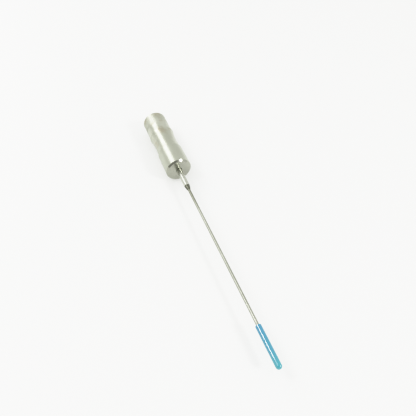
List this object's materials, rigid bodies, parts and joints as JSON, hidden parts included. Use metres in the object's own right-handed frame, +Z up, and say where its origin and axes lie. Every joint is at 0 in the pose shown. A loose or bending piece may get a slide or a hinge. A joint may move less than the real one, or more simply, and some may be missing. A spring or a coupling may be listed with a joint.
{
  "type": "inoculating loop",
  "caption": "Short round steel chuck handle with a ferruled needle, a fine wire loop at its tip and a blue pull-off protective sleeve over the loop.",
  "frame": {"origin": "on the surface the tool lies on, under the middle of its length and width", "axes": "+X along the tool's centre line from the handle to the working end, +Z up from the surface it lies on, +Y to the left when looking along +X"},
  "size_m": [0.126, 0.011, 0.0111],
  "materials": {
    "barrel_steel": "knurled grip and fine turned satin",
    "nut_steel": "fine turned satin with a polished end face",
    "plug_steel": "faced, satin",
    "collet_brass": "turned, bright",
    "ring_steel": "blued spring steel",
    "ferrule_steel": "drawn tube, bright",
    "braze_metal": "dark heat-tinted solder",
    "needle_steel": "drawn wire, satin",
    "loop_alloy": "bright resistance wire, slightly heat tinted",
    "sleeve_plastic": "glossy soft moulding"
  },
  "bodies": {
    "barrel": {"barrel": "barrel_steel", "end_plug": "plug_steel"},
    "collet": {"collet": "collet_brass"},
    "nut": {"chuck_nut": "nut_steel", "retaining_ring": "ring_steel"},
    "insert": {"ferrule": "ferrule_steel", "ferrule_braze": "braze_metal", "needle": "needle_steel", "loop_wire": "loop_alloy", "loop_braze": "braze_metal"},
    "sleeve": {"tip_sleeve": "sleeve_plastic"}
  },
  "joints": [
    {"name": "collet_advance", "type": "slide", "parent": "barrel", "child": "collet", "axis": [1, 0, 0], "range_m": [0, 0.0045]},
    {"name": "nut_turn", "type": "hinge", "parent": "collet", "child": "nut", "pos_m": [-0.027, 0, 0.00555], "axis": [1, 0, 0], "range_deg": [0, 2161]},
    {"name": "loop_pull", "type": "slide", "parent": "collet", "child": "insert", "axis": [1, 0, 0], "range_m": [0, 0.016]},
    {"name": "sleeve_pull", "type": "slide", "parent": "insert", "child": "sleeve", "axis": [1, 0, 0], "range_m": [0, 0.018]}
  ],
  "couplings": [
    {"joint": "nut_turn", "follows": "collet_advance", "rad_per_m": 8377.6}
  ]
}
